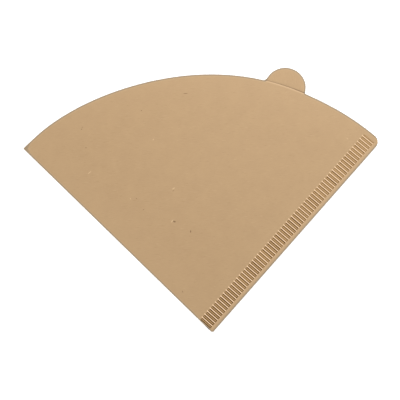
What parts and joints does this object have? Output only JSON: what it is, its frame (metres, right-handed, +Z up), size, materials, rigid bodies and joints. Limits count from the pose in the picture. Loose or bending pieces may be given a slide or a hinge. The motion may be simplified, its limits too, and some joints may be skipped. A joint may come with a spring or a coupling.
{
  "type": "paper coffee filter",
  "caption": "Cone coffee filter of kraft paper, pressed flat: folded along one side, crimped along the other, open at its round rim, with a finger tab.",
  "frame": {"origin": "middle of the filter's outline, on the table that it lies on", "axes": "+Z up from the table, +Y from the cone's point to the middle of the rim, +X towards the seam's side"},
  "size_m": [0.1542, 0.1156, 0.0013],
  "materials": {
    "kraft_paper": "matt"
  },
  "bodies": {
    "root": {"paper_filter": "kraft_paper"}
  },
  "joints": []
}
